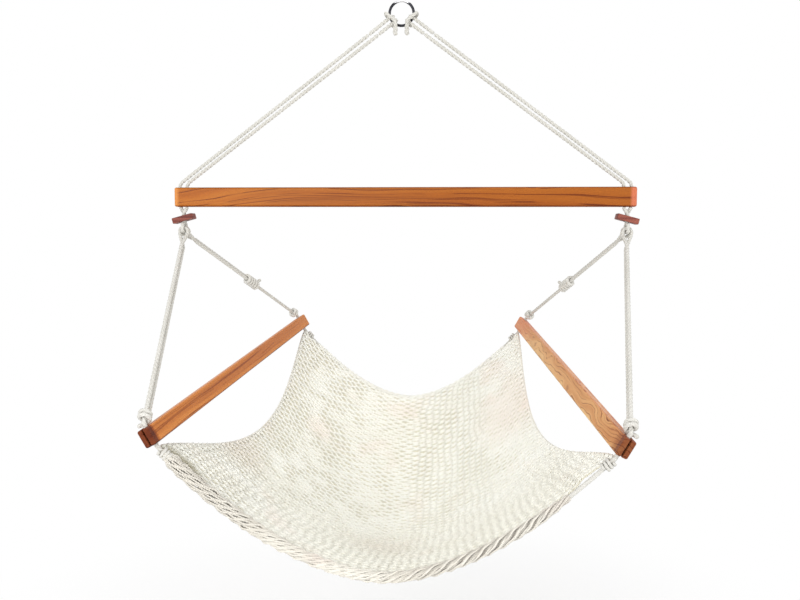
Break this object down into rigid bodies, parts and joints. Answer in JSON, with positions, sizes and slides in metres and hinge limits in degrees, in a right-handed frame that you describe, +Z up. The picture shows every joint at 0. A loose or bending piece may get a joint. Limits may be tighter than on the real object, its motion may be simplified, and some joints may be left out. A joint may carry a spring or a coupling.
{
  "type": "hammock chair",
  "caption": "Hanging chair with a woven rope seat slung between two wooden arms, carried by roped legs, a wooden spreader bar and a steel hanging ring.",
  "frame": {"origin": "where a hook bears inside the top of the hanging ring", "axes": "+Z up, +X along the spreader bar, -Y towards the open front of the seat"},
  "size_m": [1.0648, 0.8966, 1.1887],
  "materials": {
    "ring_steel": "satin",
    "bar_wood": "oiled, with visible grain",
    "arm_wood": "oiled, with visible grain",
    "toggle_wood": "oiled, dark",
    "rope": "soft laid rope, cream"
  },
  "bodies": {
    "ring": {"hanging_ring": "ring_steel"},
    "hitches": {"ring_turn_left": "rope", "ring_turn_right": "rope", "ring_hitch_left": "rope", "ring_hitch_right": "rope"},
    "hanger": {"upper_rope_left_inner": "rope", "upper_rope_left_outer": "rope", "upper_rope_right_inner": "rope", "upper_rope_right_outer": "rope", "spreader_bar": "bar_wood"},
    "sling": {"toggle_loop_left": "rope", "toggle_loop_right": "rope", "front_leg_rope_left": "rope", "front_leg_rope_right": "rope", "rear_leg_rope_left": "rope", "rear_leg_rope_right": "rope", "rear_stopper_left": "rope", "rear_stopper_right": "rope", "front_lashing_left": "rope", "front_lashing_right": "rope", "rear_lashing_left": "rope", "rear_lashing_right": "rope", "arm_left": "arm_wood", "arm_right": "arm_wood", "front_border_rope": "rope", "rear_border_rope": "rope", "seat_net": "rope"},
    "left_toggle": {"toggle_left": "toggle_wood"},
    "right_toggle": {"toggle_right": "toggle_wood"}
  },
  "joints": [
    {"name": "side_sway", "type": "hinge", "parent": "ring", "child": "hitches", "pos_m": [0, 0, -0.024], "axis": [0, 1, 0], "range_deg": [-20, 20]},
    {"name": "chair_swing", "type": "hinge", "parent": "hitches", "child": "hanger", "pos_m": [0, -0.00657, -0.072], "axis": [1, 0, 0], "range_deg": [-35, 35]},
    {"name": "seat_swing", "type": "hinge", "parent": "hanger", "child": "sling", "pos_m": [0, 0, -0.45425], "axis": [1, 0, 0], "range_deg": [-25, 25]},
    {"name": "toggle_tilt_left", "type": "hinge", "parent": "sling", "child": "left_toggle", "pos_m": [-0.507, 0, -0.48125], "axis": [0, 1, 0], "range_deg": [-2, 32]},
    {"name": "toggle_tilt_right", "type": "hinge", "parent": "sling", "child": "right_toggle", "pos_m": [0.507, 0, -0.48125], "axis": [0, 1, 0], "range_deg": [-32, 2]}
  ]
}
